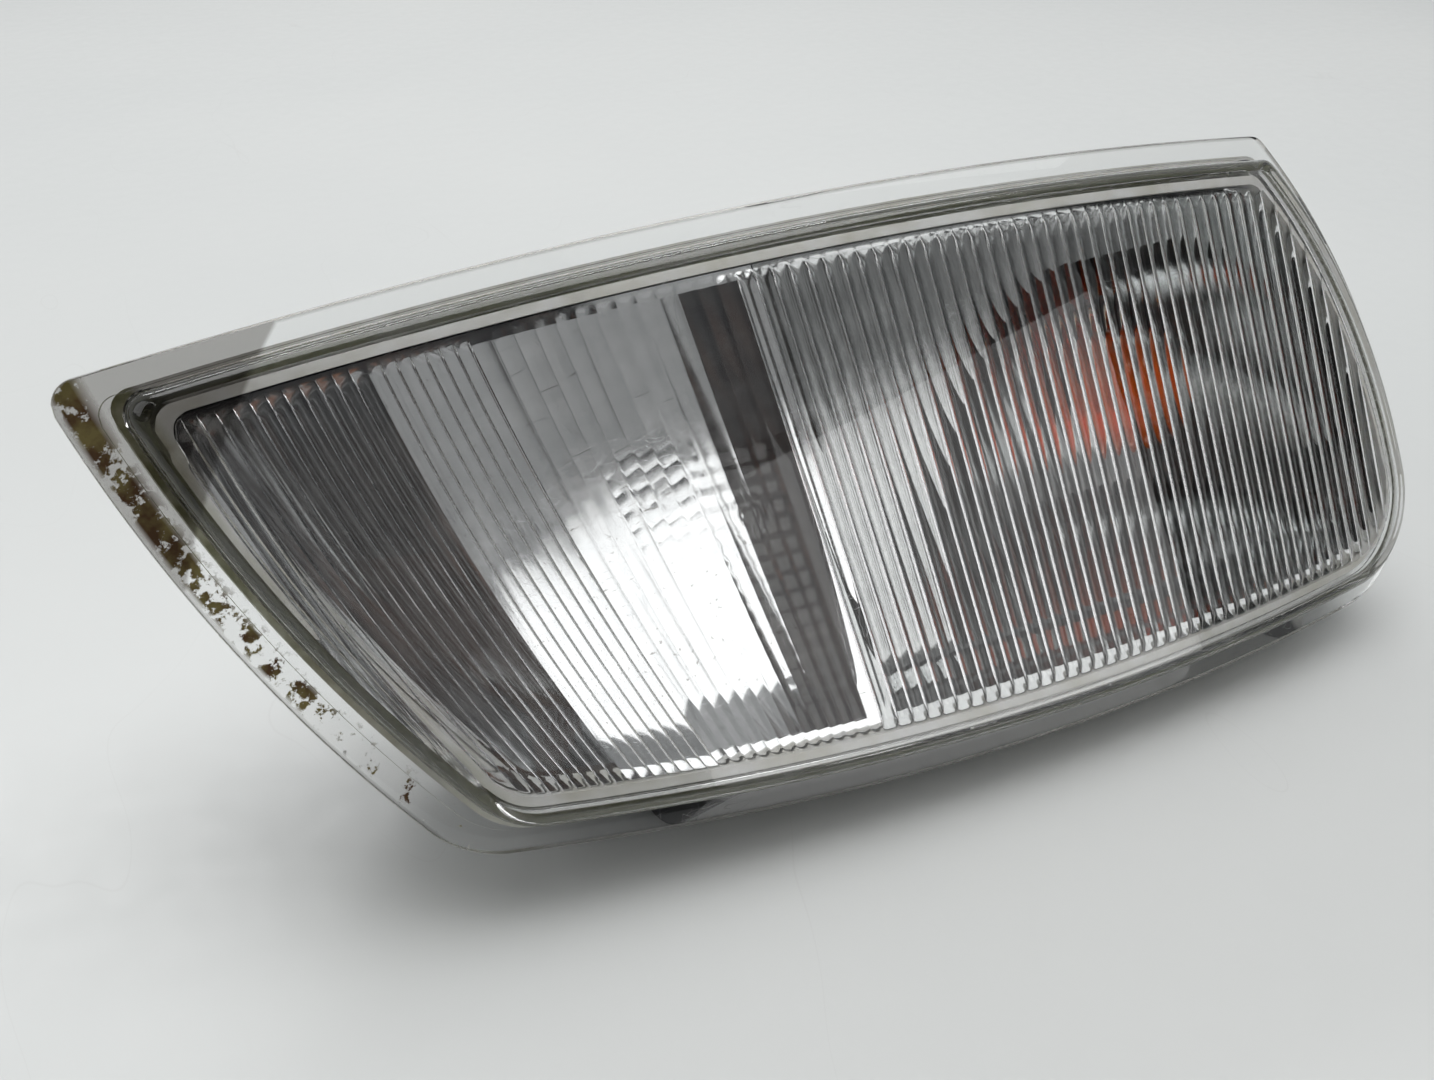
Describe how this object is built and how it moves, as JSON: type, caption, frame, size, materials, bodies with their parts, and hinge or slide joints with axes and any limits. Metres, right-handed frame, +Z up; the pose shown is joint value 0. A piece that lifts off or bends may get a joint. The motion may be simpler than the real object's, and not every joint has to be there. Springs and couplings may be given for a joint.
{
  "type": "front corner turn signal lamp",
  "caption": "Wedge-shaped front corner indicator lamp: a clear fluted lens sealed on a dark housing over aluminised mirrors, with an amber bulb in a twist-lock holder.",
  "frame": {"origin": "on the flat underside of the housing, below the middle of the lens's length", "axes": "+Z up, -Y forward out of the lens, +X to the right as seen from the front, along the lens's length"},
  "size_m": [0.2506, 0.1232, 0.1014],
  "materials": {
    "clear_lens": "clear moulded acrylic, glossy, fluted on its inner side",
    "sealant": "aged olive-grey sealing mastic",
    "black_plastic": "fine-textured black plastic",
    "aluminised": "vacuum-metallised plastic, bright with a slight satin haze",
    "amber_glass": "amber-lacquered bulb glass",
    "tungsten": "dull tungsten coil",
    "nickel_wire": "drawn nickel wire",
    "stem_glass": "pressed clear glass",
    "cap_brass": "nickel-plated brass",
    "vitrite": "black insulating glass",
    "solder": "dull solder",
    "holder_plastic": "dark grey glass-filled plastic",
    "rubber": "soft black rubber",
    "tinned_steel": "tinned sheet steel",
    "spring_steel": "spring steel with a light oil film",
    "tinned_brass": "tinned brass",
    "zinc_screw": "zinc-plated steel"
  },
  "bodies": {
    "lamp": {"outer_lens": "clear_lens", "lens_seal": "sealant", "housing": "black_plastic", "housing_back": "black_plastic", "main_reflector": "aluminised", "side_reflector": "aluminised", "reflector_screws": "zinc_screw", "vent_cap": "rubber", "tab_bush": "zinc_screw", "clip_base": "spring_steel"},
    "holder": {"bulb_holder": "holder_plastic", "holder_gasket": "rubber", "socket_sleeve": "tinned_steel", "centre_terminal": "tinned_brass", "earth_terminal": "tinned_brass"},
    "bulb": {"bulb_glass": "amber_glass", "bulb_filament": "tungsten", "bulb_lead_wires": "nickel_wire", "bulb_stem": "stem_glass", "bulb_cap": "cap_brass", "bulb_pins": "cap_brass", "bulb_insulator": "vitrite", "bulb_contact": "solder"},
    "contact": {"contact_plunger": "tinned_steel", "contact_spring": "spring_steel"},
    "clip": {"clip_arm": "spring_steel"}
  },
  "joints": [
    {"name": "holder_twist", "type": "hinge", "parent": "lamp", "child": "holder", "pos_m": [0.066, 0.0384, 0.042], "axis": [0, 1, 0], "range_deg": [-50, 0]},
    {"name": "bulb_push", "type": "slide", "parent": "holder", "child": "bulb", "axis": [0, 1, 0], "range_m": [0, 0.002], "stiffness_N_per_m": 1500, "springref_m": -0.003},
    {"name": "plunger_travel", "type": "slide", "parent": "holder", "child": "contact", "axis": [0, 1, 0], "range_m": [0, 0.002], "deforming": ["contact_spring"]},
    {"name": "clip_flex", "type": "hinge", "parent": "lamp", "child": "clip", "pos_m": [-0.0459, 0.03389, 0.062], "axis": [0, 0, 1], "range_deg": [-6, 0], "stiffness_Nm_per_rad": 2.4}
  ],
  "couplings": [
    {"joint": "plunger_travel", "follows": "bulb_push", "ratio": 1}
  ]
}
